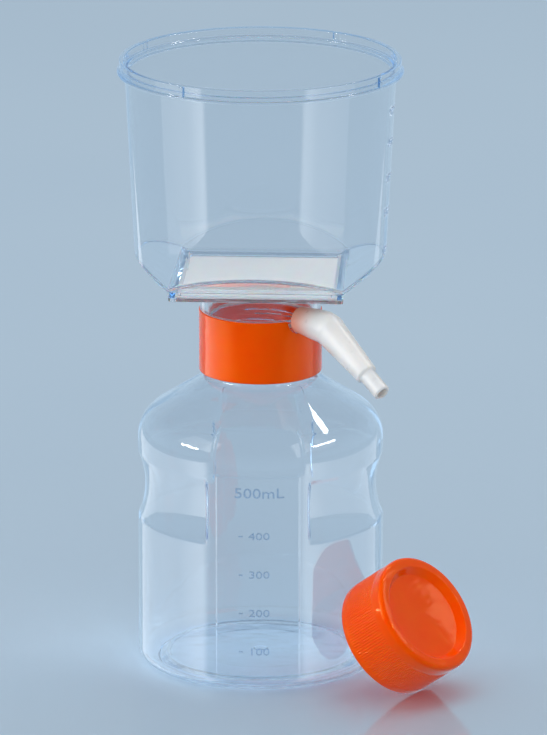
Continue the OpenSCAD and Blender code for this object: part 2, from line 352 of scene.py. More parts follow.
def closed_mesh(name, bm):
    """A mesh out of a closed bmesh, with doubles welded and its normals outward."""
    bmesh.ops.remove_doubles(bm, verts=bm.verts, dist=WELD)
    bmesh.ops.recalc_face_normals(bm, faces=bm.faces)
    return mesh_of(name, bm)


def shade(mesh, sharp):
    """Smooth shading, with the edges above an angle of sharp degrees kept."""
    mesh.shade_smooth()
    mesh.set_sharp_from_angle(angle=math.radians(sharp))


def finish_mesh(name, bm, body, material, sharp=LATHED):
    """Turns a bmesh into a piece that rides on a body and takes the given material."""
    mesh = closed_mesh(name, bm)
    shade(mesh, sharp)
    mesh.materials.append(material)
    piece = new_object(name, mesh)
    weighted = piece.modifiers.new("even_normals", "WEIGHTED_NORMAL")
    weighted.keep_sharp = True
    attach(piece, body)
    return piece


def grid(columns, loop=True):
    """A closed bmesh through columns of points that go once round. loop joins each column's two ends;
    without it both ends lie on the axis."""
    bm = bmesh.new()
    made = [[bm.verts.new(point * MM) for point in column] for column in columns]
    rows = len(made[0])
    for this, following in zip(made, made[1:] + made[:1]):
        for j in range(rows if loop else rows - 1):
            k = (j + 1) % rows
            bm.faces.new((this[j], following[j], following[k], this[k]))
    return bm


def turned_grid(profile, marks, loop=True, place=None):
    """grid() of profile(azimuth), a list of (r, z), at each azimuth of marks."""
    columns = [[around(azimuth, *point) for point in profile(azimuth)] for azimuth in marks]
    if place:
        columns = [[place @ point for point in column] for column in columns]
    return grid(columns, loop)


def combine(piece, tool_bm, operation):
    """Boolean of a piece with a closed tool, which is then thrown away."""
    tool = new_object("tool", closed_mesh("tool", tool_bm))
    cut = piece.modifiers.new("cut", "BOOLEAN")
    cut.object, cut.operation, cut.solver = tool, operation, "EXACT"
    for other in piece.modifiers:
        other.show_viewport = other is cut or other.name == "cut"
    graph = bpy.context.evaluated_depsgraph_get()
    mesh = bpy.data.meshes.new_from_object(piece.evaluated_get(graph))
    piece.modifiers.remove(cut)
    old, piece.data = piece.data, mesh
    mesh.name = piece.name
    bpy.data.meshes.remove(old)
    bpy.data.objects.remove(tool)
    shade(mesh, SHARP)
    for other in piece.modifiers:
        other.show_viewport = True


def along_port(angle, r, distance):
    """A point round the port's axis, at a distance from the main axis."""
    across = PORT_SIDE * (r * math.cos(angle))
    return PORT_WAY * distance + across + Vector((0, 0, PORT_Z + r * math.sin(angle)))


def port_bar(profile):
    """A closed bar along the port's axis through (r, distance) points."""
    return grid([[along_port(a, *point) for point in profile] for a in steps(0, 2 * math.pi, 64)], loop=False)


PORT_WAY = around(PORT_AZ, 1, 0)
PORT_SIDE = Vector((-PORT_WAY.y, PORT_WAY.x, 0))


# ---------------------------------------------------------------- materials
def new_material(name, **values):
    """A Principled material: its values are set on the shader's own sockets, _ standing for a space."""
    made = bpy.data.materials.new(name)
    made.use_nodes = True
    shader = made.node_tree.nodes["Principled BSDF"]
    for socket, value in values.items():
        shader.inputs[socket.replace("_", " ")].default_value = value
    return made, made.node_tree, shader


def noise(tree, scale, detail=2.0, stretch=(1, 1, 1)):
    """Noise in object space, stretched, as a value socket."""
    place = tree.nodes.new("ShaderNodeTexCoord")
    mapping = tree.nodes.new("ShaderNodeMapping")
    mapping.inputs["Scale"].default_value = stretch
    texture = tree.nodes.new("ShaderNodeTexNoise")
    texture.inputs["Scale"].default_value = scale
    texture.inputs["Detail"].default_value = detail
    tree.links.new(place.outputs["Object"], mapping.inputs["Vector"])
    tree.links.new(mapping.outputs["Vector"], texture.inputs["Vector"])
    return texture.outputs["Fac"]


def map_range(tree, value, start, end, low=0.0, high=1.0, kind="LINEAR"):
    """A value socket that goes from low to high as value goes from start to end."""
    node = tree.nodes.new("ShaderNodeMapRange")
    node.interpolation_type = kind
    for socket, number in (("From Min", start), ("From Max", end), ("To Min", low), ("To Max", high)):
        node.inputs[socket].default_value = number
    tree.links.new(value, node.inputs["Value"])
    return node.outputs["Result"]


def ranged(tree, value, low, high):
    """A noise's middle range, 0.3..0.7, remapped to low..high."""
    return map_range(tree, value, 0.3, 0.7, low, high)


def mixed(tree, factor, low, high):
    """A colour socket from low, a colour or a socket, to the colour high as factor goes from 0 to 1."""
    mix = tree.nodes.new("ShaderNodeMix")
    mix.data_type = "RGBA"
    mix.inputs["B"].default_value = (*high, 1)
    if isinstance(low, tuple):
        mix.inputs["A"].default_value = (*low, 1)
    else:
        tree.links.new(low, mix.inputs["A"])
    tree.links.new(factor, mix.inputs["Factor"])
    return mix.outputs["Result"]


def math_node(tree, operation, first, second):
    """The result of a Math node, whose second input is a number or a socket."""
    node = tree.nodes.new("ShaderNodeMath")
    node.operation = operation
    tree.links.new(first, node.inputs[0])
    if isinstance(second, (int, float)):
        node.inputs[1].default_value = second
    else:
        tree.links.new(second, node.inputs[1])
    return node.outputs["Value"]


def colour_by(tree, shader, value, low, high):
    """The shader's colour goes from low to high over a noise's middle range."""
    tree.links.new(mixed(tree, ranged(tree, value, 0, 1), low, high), shader.inputs["Base Color"])


def rough_by(tree, shader, value, low, high):
    """The shader's roughness goes from low to high over a noise's middle range."""
    tree.links.new(ranged(tree, value, low, high), shader.inputs["Roughness"])


def bump(tree, shader, height, distance, after=None):
    """A bump on the shader, on top of the bump after: height is a socket, and distance its size in metres."""
    node = tree.nodes.new("ShaderNodeBump")
    node.inputs["Distance"].default_value = distance
    tree.links.new(height, node.inputs["Height"])
    if after:
        tree.links.new(after, node.inputs["Normal"])
    tree.links.new(node.outputs["Normal"], shader.inputs["Normal"])
    return node.outputs["Normal"]


def let_light_through(tree, shader, colour, most_turns=None):
    """Lamps shine through the material with this colour, so that it casts a light shadow. With most_turns, so
    do rays that have turned more often than that, so that thick corners don't trap them and look black."""
    path = tree.nodes.new("ShaderNodeLightPath")
    through = path.outputs["Is Shadow Ray"]
    if most_turns:
        trapped = math_node(tree, "GREATER_THAN", path.outputs["Ray Depth"], most_turns)
        through = math_node(tree, "MAXIMUM", through, trapped)
    see = tree.nodes.new("ShaderNodeBsdfTransparent")
    see.inputs["Color"].default_value = (*colour, 1)
    mix = tree.nodes.new("ShaderNodeMixShader")
    tree.links.new(through, mix.inputs["Fac"])
    tree.links.new(shader.outputs["BSDF"], mix.inputs[1])
    tree.links.new(see.outputs["BSDF"], mix.inputs[2])
    tree.links.new(mix.outputs["Shader"], tree.nodes["Material Output"].inputs["Surface"])


def clear_plastic(name, density, wave_scale, wave_height, stretch, tint=(0.985, 0.99, 0.995), haze=0.0):
    """Clear polystyrene: moulding waves, faint haze, darker where it is looked through lengthways."""
    made, tree, shader = new_material(name, Base_Color=(*tint, 1), IOR=1.59, Transmission_Weight=1.0)
    rough_by(tree, shader, noise(tree, 90, 3), haze, haze + 0.035)
    bump(tree, shader, noise(tree, wave_scale, 1.5, stretch), wave_height)
    absorb = tree.nodes.new("ShaderNodeVolumeAbsorption")
    absorb.inputs["Color"].default_value = (0.50, 0.70, 0.86, 1)
    absorb.inputs["Density"].default_value = density
    tree.links.new(absorb.outputs["Volume"], tree.nodes["Material Output"].inputs["Volume"])
    let_light_through(tree, shader, (0.95, 0.96, 0.97), most_turns=12)
    return made


def orange_plastic(name, low, high, rough):
    """Coloured polyethylene: slightly soft inside, uneven gloss, faint flow marks."""
    made, tree, shader = new_material(
        name, IOR=1.51, Subsurface_Weight=0.6, Subsurface_Scale=0.003, Subsurface_Radius=(1.0, 0.16, 0.03),
        Specular_IOR_Level=0.5, Specular_Tint=(1.0, 0.38, 0.04, 1))
    colour_by(tree, shader, noise(tree, 55, 3), low, high)
    rough_by(tree, shader, noise(tree, 240, 4), rough - 0.03, rough + 0.04)
    flow = bump(tree, shader, noise(tree, 60, 2, (1, 1, 2.5)), 0.00035)
    bump(tree, shader, noise(tree, 2200, 2), 0.00001, after=flow)
    let_light_through(tree, shader, (0.95, 0.12, 0.0))
    return made


def painted_glow_mask(tree):
    """A value socket, 0.75 at the hose connector's root and falling to 0 along it: the mask of the painted
    orange glow.
    """
    place = tree.nodes.new("ShaderNodeTexCoord")
    along = tree.nodes.new("ShaderNodeVectorMath")
    along.operation = "DOT_PRODUCT"
    along.inputs[1].default_value = PORT_WAY
    tree.links.new(place.outputs["Object"], along.inputs[0])
    start = RING_R * MM
    end = (RING_R + 15) * MM
    return map_range(tree, along.outputs["Value"], start, end, 0.75, 0.0, "SMOOTHSTEP")


def milky_plastic():
    """Translucent white polyethylene of the hose connector. Its base colour turns orange towards the root: a
    painted glow that stands for the ring's light shining into it.
    """
    made, tree, shader = new_material(
        "milky_plastic", IOR=1.51, Subsurface_Weight=0.75, Subsurface_Scale=0.004,
        Subsurface_Radius=(1.0, 0.85, 0.7))
    clouds = ranged(tree, noise(tree, 120, 3), 0, 1)
    plain = mixed(tree, clouds, (0.76, 0.745, 0.72), (0.81, 0.80, 0.785))
    # painted glow: an orange base colour at the root stands for the ring's light shining through it
    painted_glow = mixed(tree, painted_glow_mask(tree), plain, (0.95, 0.22, 0.08))
    tree.links.new(painted_glow, shader.inputs["Base Color"])
    rough_by(tree, shader, noise(tree, 300, 3), 0.26, 0.40)
    bump(tree, shader, noise(tree, 160, 2), 0.00015)
    return made


def membrane_matt():
    """Filter membrane: matt and finely fibrous."""
    made, tree, shader = new_material(
        "membrane_matt", IOR=1.4, Subsurface_Weight=0.5, Subsurface_Scale=0.001, Sheen_Weight=0.15)
    fibres = noise(tree, 2600, 4, (1, 1, 0.2))
    colour_by(tree, shader, fibres, (0.64, 0.635, 0.62), (0.70, 0.695, 0.68))
    rough_by(tree, shader, noise(tree, 400, 3), 0.75, 0.9)
    bump(tree, shader, fibres, 0.00003)
    let_light_through(tree, shader, (0.45, 0.44, 0.42))
    return made


def seal_soft():
    """Soft foamed seal on the neck."""
    made, tree, shader = new_material("seal_soft", IOR=1.45, Subsurface_Weight=0.2, Subsurface_Scale=0.001)
    grain = noise(tree, 3000, 3)
    colour_by(tree, shader, grain, (0.78, 0.78, 0.75), (0.88, 0.88, 0.86))
    rough_by(tree, shader, grain, 0.55, 0.75)
    bump(tree, shader, grain, 0.00002)
    return made


CLEAR_BOTTLE = clear_plastic("clear_bottle", 55.0, 55, 0.0004, (1, 1, 0.35))
CLEAR_FUNNEL = clear_plastic("clear_funnel", 42.0, 40, 0.00022, (1, 1, 0.3))
CLEAR_BASE = clear_plastic("clear_base", 2.0, 60, 0.0001, (1, 1, 1))
FAINT_MARKS = clear_plastic("faint_marks", 30.0, 400, 0.00006, (1, 1, 1), (0.80, 0.87, 0.95), 0.22)
CLEAR_MARKS = clear_plastic("clear_marks", 60.0, 400, 0.00006, (1, 1, 1), (0.58, 0.70, 0.86), 0.22)
ORANGE_RING = orange_plastic("orange_ring", (0.98, 0.070, 0.0), (1.0, 0.095, 0.0), 0.11)
ORANGE_CAP = orange_plastic("orange_cap", (0.98, 0.075, 0.0), (1.0, 0.100, 0.0), 0.06)
MILKY = milky_plastic()


# ---------------------------------------------------------------- bottle
def ridge(azimuth, z, start_z):
    """How far a right-hand thread stands out at an azimuth and height z. It starts in front, at start_z."""
    best = 0.0
    for turn in range(-1, int(THREAD_TURNS) + 2):
        along = azimuth / 360 + turn
        fade = smooth(along / THREAD_RUNOUT) * smooth((THREAD_TURNS - along) / THREAD_RUNOUT)
        off = abs(z - start_z - along * PITCH)
        half_w = THREAD_W / 2
        best = max(best, fade * THREAD_H * smooth((half_w - off) / (THREAD_FLANK * half_w)))
    return best


def grip_depth(azimuth, z):
    """How far the side grips go in: two arcs of a circle, with steep ends beside the label panels."""
    arc_r = (GRIP_H ** 2 / 4 + GRIP_DEPTH ** 2) / (2 * GRIP_DEPTH)
    off = min(abs(z - GRIP_Z - GRIP_H / 2), arc_r - 0.01)
    depth = math.sqrt(arc_r ** 2 - off ** 2) - (arc_r - GRIP_DEPTH)
    depth = GRIP_EDGE * math.log1p(math.exp(min(depth / GRIP_EDGE, 40)))
    end = (from_middle(azimuth, 2) - GRIP_START + GRIP_END_W / 2) / GRIP_END_W
    return depth * smooth(end) if depth > 0.002 else 0.0


def wall_heights():
    """Heights of the side wall's points, close together at the grips' edges."""
    low = GRIP_Z
    high = GRIP_Z + GRIP_H
    below = steps(FOOT_ROUND, low - GRIP_EDGE_OUT, 6) + steps(low - GRIP_EDGE_OUT, low + GRIP_EDGE_IN, 14)
    above = steps(low + GRIP_EDGE_IN, high - GRIP_EDGE_IN, 18)
    above += steps(high - GRIP_EDGE_IN, high + GRIP_EDGE_OUT, 14)
    return below + above + [high + GRIP_EDGE_OUT]


def bottle_outline(azimuth, inset):
    """From the foot's flat to the neck's rim, as two lines that meet on the slope: the outside, where inset
    is 0, or the inside."""
    azimuth -= BOTTLE_TURN
    side = from_middle(azimuth, 2)
    label = 0 if inset else LABEL_STEP * smooth((LABEL_HALF + 0.4 - side) / 0.8)
    foot_r = FOOT_ROUND - inset
    line = [(BODY_R - FOOT_ROUND + foot_r * math.sin(t), FOOT_ROUND - foot_r * math.cos(t))
            for t in steps(0, math.pi / 2, 10)]
    for z in wall_heights():
        proud = label * window(z, LABEL_LOW, LABEL_HIGH, LABEL_FADE)
        line.append((BODY_R - inset - grip_depth(azimuth, z) + proud, z))

    edge_r = SHOULDER_ROUND + (PANEL_ROUND - SHOULDER_ROUND) * smooth((PANEL_HALF + 1 - side) / 2)
    hub = (BODY_R - edge_r, CORNER_Z - edge_r * math.tan(SHOULDER_TURN / 2))
    arc = edge_r - inset
    shoulder = [(hub[0] + arc * math.cos(t), hub[1] + arc * math.sin(t))
                for t in steps(0, SHOULDER_TURN, 16) + [SHOULDER_TURN]]
    end = shoulder.pop()

    neck = NECK_R - NECK_WALL if inset else NECK_R
    slope = math.tan(math.radians(SHOULDER_SLOPE))
    foot = (neck, end[1] + (end[0] - neck) * slope)
    line += shoulder + [(r, foot[1] - (r - neck) * slope) for r in SLOPE_RADII]
    return line, rounded([line[-1], foot, (neck, RIM_Z)], [NECK_ROUND_IN if inset else NECK_ROUND], 8)


def bottle_profile(azimuth):
    """Base, outside, rim, and the inside back to the base's middle."""
    outside, neck = bottle_outline(azimuth, 0)
    inside, inner_neck = bottle_outline(azimuth, WALL)
    stand = BODY_R - FOOT_ROUND
    foot_in = stand - FOOT_RING_W
    base = rounded([*BASE_UNDER, (foot_in - 0.6, 0.5), (foot_in + 0.3, 0), (stand, 0)],
                   [0.5, 0.8, 6, 2.5, 1.2, 0.5], 4)
    lip = RIM_Z - NECK_LIP
    threads = [(NECK_R + ridge(azimuth, z, NECK_THREAD_Z), z) for z in steps(neck[-2][1], lip, 48)]
    mouth = NECK_R - NECK_WALL
    rim = rounded([(NECK_R, lip), (NECK_R, RIM_Z), (mouth, RIM_Z), (mouth, lip)], [0.5, 0.5], 4)
    bottom = rounded([(stand, WALL), *BASE_INSIDE], [1.4, 1.8, 8], 5)
    back = inside + inner_neck[:-1]
    return base[:-1] + outside + neck[:-2] + threads + rim + back[::-1] + bottom[1:]


def bottle():
    """The shell, with fine steps where its grips, panels and labels end."""
    ends = [side + sign * edge + BOTTLE_TURN for side in (0, 180) for sign in (-1, 1)
            for edge in (GRIP_START, PANEL_HALF, LABEL_HALF)]
    shell = turned_grid(bottle_profile, azimuths(1.6, ends, 1.2, 0.24), loop=False)
    piece = finish_mesh("bottle_shell", shell, "receiver", CLEAR_BOTTLE)
    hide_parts("bottle")
    return piece


# ---------------------------------------------------------------- funnel
def section(start, corners, count):
    """A closed line from start through (point, radius) corners and back, without its end."""
    points = [start] + [point for point, _ in corners] + [start]
    return rounded(points, [radius for _, radius in corners], count)[:-1]


def square_r(azimuth, half, corner):
    """Distance from the axis to the side of a square with rounded corners."""
    off = math.radians(from_middle(azimuth, 4))
    if math.tan(off) * half <= half - corner:
        return half / math.cos(off)
    centre = (half - corner) * math.sqrt(2)
    from_corner = math.pi / 4 - off
    reach = corner ** 2 - (centre * math.sin(from_corner)) ** 2
    return centre * math.cos(from_corner) + math.sqrt(max(reach, 0))


def facet_meets(azimuth, low_r, low_z, half, plane_z):
    """Where a sloping facet runs out into the cup's cone: (r, z). The cone has radius low_r at low_z."""
    c = math.cos(math.radians(from_middle(azimuth, 4)))
    r = (low_r + DRAFT * (plane_z - low_z - half * FACET_RISE)) / (1 - DRAFT * c * FACET_RISE)
    return r, plane_z + (r * c - half) * FACET_RISE


def funnel_profile(azimuth):
    """Round the wall's section once, from the foot's outer edge up and back down inside."""
    foot = square_r(azimuth, PLATE_HALF, CORNER_ROUND)
    hole = square_r(azimuth, OPEN_HALF, 0.6)
    rebate = square_r(azimuth, MEMBRANE_HALF, 0.3)
    out = facet_meets(azimuth, CUP_R, FLANGE_TOP, PLATE_HALF, FLANGE_TOP)
    inner = facet_meets(azimuth, CUP_R - CUP_WALL, FLANGE_TOP, OPEN_HALF, FACET_INNER_Z)
    lug = LUG_OUT * max(window(turned(azimuth, LUG_AZ + 90 * n), -LUG_HALF, LUG_HALF, 0.3) for n in range(4))
    lug_top = FUNNEL_TOP - LUG_DROP
    bead_top = BEAD_Z + BEAD_H
    rim_in = RIM_R - RIM_WALL
    cup_in = CUP_TOP_R - CUP_WALL
    ledge_z = bead_top + LEDGE_H
    clamp_z = MEMBRANE_TOP - PRESSED
    seam = MEMBRANE_Z + SEAM
    corners = [
        ((foot, seam), 0.25), ((foot, FLANGE_TOP), 0.5), (out, 1.0), ((CUP_TOP_R, BEAD_Z), 0.6),
        ((BEAD_OUT, BEAD_Z), 0.45), ((BEAD_OUT, bead_top), 0.45), ((RIM_R + lug, bead_top), 0.3),
        ((RIM_R + lug, lug_top), 0.3), ((RIM_R, lug_top + 0.01), 0), ((RIM_R, FUNNEL_TOP), 0.5),
        ((rim_in, FUNNEL_TOP), 0.4), ((rim_in, ledge_z), 0.5), ((cup_in, ledge_z), 0.5), (inner, 1.2),
        ((hole, FACET_INNER_Z), 0.5), ((hole, clamp_z), 0.15), ((rebate, clamp_z), 0), ((rebate, seam), 0)]
    return section(((foot + rebate) / 2, seam), corners, 4)


def funnel():
    """The cup and its square foot, with fine steps at the foot's corners and the lugs."""
    corners = [45 + 90 * n for n in range(4)]
    lugs = [LUG_AZ + 90 * n + side for n in range(4) for side in (-LUG_HALF, LUG_HALF)]
    cup = turned_grid(funnel_profile, azimuths(1.5, corners + lugs, 0.6, 0.15))
    piece = finish_mesh("funnel_cup", cup, "filter_head", CLEAR_FUNNEL)
    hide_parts("funnel")
    return piece


# ---------------------------------------------------------------- filter base
def base_profile(azimuth):
    """Round the section once: spout, plate's underside, chamber, plate's side and top."""
    side = square_r(azimuth, PLATE_HALF, CORNER_ROUND)
    spout = SPOUT_R + SPOUT_WALL
    spout_end = PLATE_Z - SPOUT_LEN
    top = MEMBRANE_Z + PRESSED
    corners = [
        ((SPOUT_R, spout_end), 0.2), ((spout, spout_end), 0.3), ((spout, PLATE_Z), 0.6),
        ((CHAMBER_IN, PLATE_Z), 0.8), ((CHAMBER_IN, RING_TOP), 0.2), ((CHAMBER_R, RING_TOP), 0.2),
        ((CHAMBER_R, PLATE_Z), 0.6), ((side, PLATE_Z), 0.35), ((side, top), 0.2), ((SPOUT_R, top), 0.3)]
    return section((SPOUT_R, (spout_end + MEMBRANE_Z) / 2), corners, 3)


def box_bm(low, high):
    """A closed block between two corners, in millimetres."""
    bm = bmesh.new()
    bmesh.ops.create_cube(bm, size=1.0)
    low, high = Vector(low), Vector(high)
    for vert in bm.verts:
        vert.co = Vector([(low[i] + high[i]) / 2 + vert.co[i] * (high[i] - low[i]) for i in range(3)]) * MM
    return bm


def drain_grooves():
    """Blocks that cut the grooves under the membrane."""
    run = OPEN_HALF - GROOVE_W
    count = math.floor(run / GROOVE_PITCH)
    low = MEMBRANE_Z - GROOVE_D
    high = MEMBRANE_Z + 1
    return [box_bm((-run, i * GROOVE_PITCH - GROOVE_W / 2, low), (run, i * GROOVE_PITCH + GROOVE_W / 2, high))
            for i in range(-count, count + 1)]


def port_pad():
    """The round pad that closes the ring's notch round the port, with curved faces."""
    def place(angle, r, wall):
        across = r * math.cos(angle)
        out = PORT_WAY * math.sqrt(wall ** 2 - across ** 2)
        return out + PORT_SIDE * across + Vector((0, 0, PORT_Z + r * math.sin(angle)))

    inner = RING_BORE + PAD_GAP
    outer = CHAMBER_R - PAD_SINK
    bevel = 0.2
    face = [0, 2, 4, PAD_R - bevel]
    line = [(r, inner) for r in face] + [(PAD_R, inner + bevel), (PAD_R, outer - bevel)]
    line += [(r, outer) for r in reversed(face)]
    return grid([[place(angle, *point) for point in line] for angle in steps(0, 2 * math.pi, 64)], loop=False)


def filter_base():
    """The plate with its chamber and spout, then the grooves, the port's pad and nipple, and its bore."""
    plate = turned_grid(base_profile, azimuths(2.5, [45 + 90 * n for n in range(4)], 0.9, 0.3))
    piece = finish_mesh("clear_base", plate, "filter_head", CLEAR_BASE, SHARP)
    for groove in drain_grooves():
        combine(piece, groove, "DIFFERENCE")
    start = RING_BORE + PAD_GAP
    nipple = [(0, start), (NIPPLE_R, start), (NIPPLE_R, PORT_OUT - NIPPLE_LEAD),
              (NIPPLE_R - NIPPLE_LEAD, PORT_OUT), (0, PORT_OUT)]
    low = CHAMBER_IN - 2
    bore = [(0, low), (NIPPLE_BORE, low), (NIPPLE_BORE, PORT_OUT + 1), (0, PORT_OUT + 1)]
    combine(piece, port_pad(), "UNION")
    combine(piece, port_bar(nipple), "UNION")
    combine(piece, port_bar(bore), "DIFFERENCE")
    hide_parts("filter_base")
    return piece


# ---------------------------------------------------------------- adapter ring
def ring_profile(azimuth):
    """Round the ring's section once, with its thread inside."""
    flange_z = RING_TOP - RING_FLANGE
    low = RING_LOW + RING_EDGE
    high = RING_TOP - RING_EDGE
    lead = (RING_BORE + RING_LEAD, RING_LOW)
    line = rounded([lead, (RING_R, RING_LOW), (RING_R, low)], [0.55], 4)[:-1]
    for z in steps(low, high, 26):
        ripple = RIPPLE_D * math.exp(-((z - RIPPLE_Z) / RIPPLE_W) ** 2)
        line.append((RING_R - ripple, z))
    line += rounded([(RING_R, high), (RING_R, RING_TOP), (RING_MOUTH, RING_TOP), (RING_MOUTH, flange_z),
                     (RING_BORE, flange_z), (RING_BORE, flange_z - 0.8)], [0.5, 0.3, 0.3, 0.3], 4)
    thread_z = NECK_THREAD_Z - PITCH / 2
    thread_end = RING_LOW + 0.8
    line += [(RING_BORE - ridge(azimuth, z, thread_z), z) for z in steps(flange_z - 0.9, thread_end, 50)]
    return line + rounded([(RING_BORE, thread_end), (RING_BORE, RING_LOW + RING_LEAD), lead], [0.2], 2)[:-1]


def adapter_ring():
    """The ring, with a notch through its side for the port."""
    ring = turned_grid(ring_profile, azimuths(2))
    piece = finish_mesh("orange_adapter_ring", ring, "filter_head", ORANGE_RING)
    reach = PAD_R + PAD_GAP
    start = RING_MOUTH / 2
    notch = [(0, start), (reach, start), (reach, RING_R + 1), (0, RING_R + 1)]
    combine(piece, port_bar(notch), "DIFFERENCE")
    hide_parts("adapter_ring")
    return piece


# ---------------------------------------------------------------- hose connector
def arm_axis(s):
    """Centre and upward normal of the arm at s, measured from the elbow's corner along the axis."""
    elbow = PORT_WAY * (RING_R + ELBOW_OUT) + Vector((0, 0, PORT_Z))
    turn = math.radians(BEND) * min(1.0, max(0.0, (s + ARM_BEND) / (2 * ARM_BEND)))
    up = Vector((0, 0, 1)) * math.cos(turn) + PORT_WAY * math.sin(turn)
    if s <= -ARM_BEND:
        return elbow + PORT_WAY * s, up
    if s >= ARM_BEND:
        return elbow + TIP_AXIS * s, up
    hub = elbow - PORT_WAY * ARM_BEND - Vector((0, 0, ELBOW_BEND))
    return hub + up * ELBOW_BEND, up


def arm_outside():
    """(radius, place along the axis) points from the root's mouth out to the tip's bore."""
    root_end = ARM_START + ROOT_LEN
    mouth = [(ARM_SEAT + 0.3, ARM_START), (ROOT_R, ARM_START), (ROOT_R + 0.15, root_end)]
    line = rounded(mouth, [0.5], 5)[:-1]
    for s in steps(root_end, -ARM_BEND, 8):
        swell = smooth((s - ARM_START) / (-ARM_BEND - ARM_START)) ** 0.9
        line.append((ROOT_R + (ELBOW_R - ROOT_R) * swell, s))
    line += [(ELBOW_R + 0.05 * math.sin(math.pi * (s + ARM_BEND) / (2 * ARM_BEND)), s)
             for s in steps(-ARM_BEND, ARM_BEND, 12)]
    taper_end = ARM_LEN - 1.2
    line += [(ELBOW_R + (ARM_END_R - ELBOW_R) * s / ARM_LEN, s) for s in steps(ARM_BEND, taper_end, 8)]
    tip = [(ARM_END_R + 0.09, taper_end), (ARM_END_R, ARM_LEN), (TIP_R, ARM_LEN + TIP_SHOULDER),
           (TIP_R, ARM_FULL - TIP_LEAD), (TIP_R - TIP_LEAD, ARM_FULL), (CONNECTOR_BORE + 0.1, ARM_FULL),
           (CONNECTOR_BORE, ARM_FULL - 0.3), (CONNECTOR_BORE, ARM_LEN)]
    return line + rounded(tip, [0.7, 0.8, 0.4, 0.25, 0.1, 0.1], 4)


def arm_inside():
    """(radius, place along the axis) points from the bore behind the tip back to the root's mouth."""
    seat_end = NIPPLE_LEN + ARM_START
    places = steps(ARM_LEN - 2, ARM_BEND, 4) + steps(ARM_BEND, -ARM_BEND, 8)
    seat = [(CONNECTOR_BORE, -ARM_BEND), (CONNECTOR_BORE, seat_end), (ARM_SEAT, seat_end),
            (ARM_SEAT, ARM_START + 0.3), (ARM_SEAT + 0.3, ARM_START)]
    return [(CONNECTOR_BORE, s) for s in places] + rounded(seat, [0.2, 0.2, 0.1], 3)[:-1]


def hose_connector():
    """A tube swept along its bent axis: out from the ring, round the elbow and down to the tip."""
    outline = [(r, *arm_axis(s)) for r, s in arm_outside() + arm_inside()]
    columns = []
    for angle in steps(0, 2 * math.pi, 72):
        across, rise = math.cos(angle), math.sin(angle)
        columns.append([centre + PORT_SIDE * (r * across) + up * (r * rise) for r, centre, up in outline])
    piece = finish_mesh("milky_hose_connector", grid(columns), "connector", MILKY)
    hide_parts("hose_connector")
    return piece


# ---------------------------------------------------------------- storage cap
def cap_profile(azimuth):
    """Round the cap's section once, open end at height 0, with fine ribs round its side."""
    face_r = RING_R - CAP_ROUND - CAP_FACE_W
    sunk_r = face_r - CAP_RECESS_W
    sunk_z = CAP_H - CAP_RECESS
    top = CAP_H - CAP_END_T
    edge = CAP_H - CAP_EDGE
    rib = RIB_D * (0.5 - 0.5 * math.cos(math.radians(azimuth * RIBS)))
    line = rounded([(RING_BORE + RING_LEAD, 0), (RING_R, 0), (RING_R, CAP_LIP)], [0.6], 4)[:-1]
    line += [(RING_R - rib * window(z, RIBS_LOW, RIBS_HIGH, 0.8), z) for z in steps(CAP_LIP, edge, 26)]
    line += rounded([(RING_R, edge), (RING_R, CAP_H), (face_r, CAP_H), (sunk_r, sunk_z), (0, sunk_z)],
                    [CAP_ROUND * 1.25, 0.7, 0.7], 8)[:-1]
    line += [(sunk_r * t, sunk_z - CAP_DISH * (1 - t * t)) for t in (0.9, 0.8, 0.65, 0.5, 0.35, 0.2, 0.1, 0)]
    inside = [(0, sunk_z - CAP_DISH - CAP_END_T), (sunk_r + CAP_END_T, sunk_z - CAP_END_T),
              (face_r + CAP_END_T, top), (RING_BORE, top), (RING_BORE, top - 1.5)]
    line += rounded(inside, [0.5, 0.5, 0.4], 4)
    thread_z = top - CAP_THREAD_DROP - THREAD_TURNS * PITCH
    line += [(RING_BORE - ridge(azimuth, z, thread_z), z) for z in steps(top - 1.6, 0.8, 28)]
    return line + [(RING_BORE, 0.6), (RING_BORE + 0.15, 0.3)]


def storage_cap():
    """The cap's open end leans on the bottle, and its closed end faces outwards and up."""
    out = BODY_R + CAP_GAP + RING_R * math.sin(math.radians(CAP_LEAN))
    lift = RING_R * math.cos(math.radians(CAP_LEAN))
    place = (Matrix.Rotation(math.radians(CAP_AZ), 4, "Z") @ Matrix.Translation((0, -out, lift))
             @ Matrix.Rotation(math.radians(90 - CAP_LEAN), 4, "X"))
    cap = turned_grid(cap_profile, steps(0, 360, RIBS * 6), place=place)
    piece = finish_mesh("orange_storage_cap", cap, "receiver", ORANGE_CAP)
    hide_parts("storage_cap")
    return piece


# ---------------------------------------------------------------- graduations
def wrap(bm, stretch, r_at, azimuth, z):
    """Lays flat marks, drawn in millimetres, on a wall: r_at(z) is the wall's outer radius."""
    for vert in bm.verts:
        x, y, out = vert.co
        level = z + y
        wall = r_at(level)
        turn = azimuth + math.degrees(x * stretch / wall)
        vert.co = around(turn, wall + MARK_GAP + MARK_H / 2 + out, level) * MM


def figures(text, size, stretch, r_at, azimuth, z):
    """Raised lettering wrapped round a wall."""
    curve = bpy.data.curves.new("lettering", "FONT")
    curve.body = text
    curve.size = size
    curve.align_x = "CENTER"
    curve.align_y = "CENTER"
    curve.extrude = MARK_H / 2
    curve.resolution_u = 3
    source = new_object("lettering", curve)
    mesh = bpy.data.meshes.new_from_object(source.evaluated_get(bpy.context.evaluated_depsgraph_get()))
    bm = bmesh.new()
    bm.from_mesh(mesh)
    bpy.data.objects.remove(source)
    bpy.data.meshes.remove(mesh)
    wrap(bm, stretch, r_at, azimuth, z)
    return bm


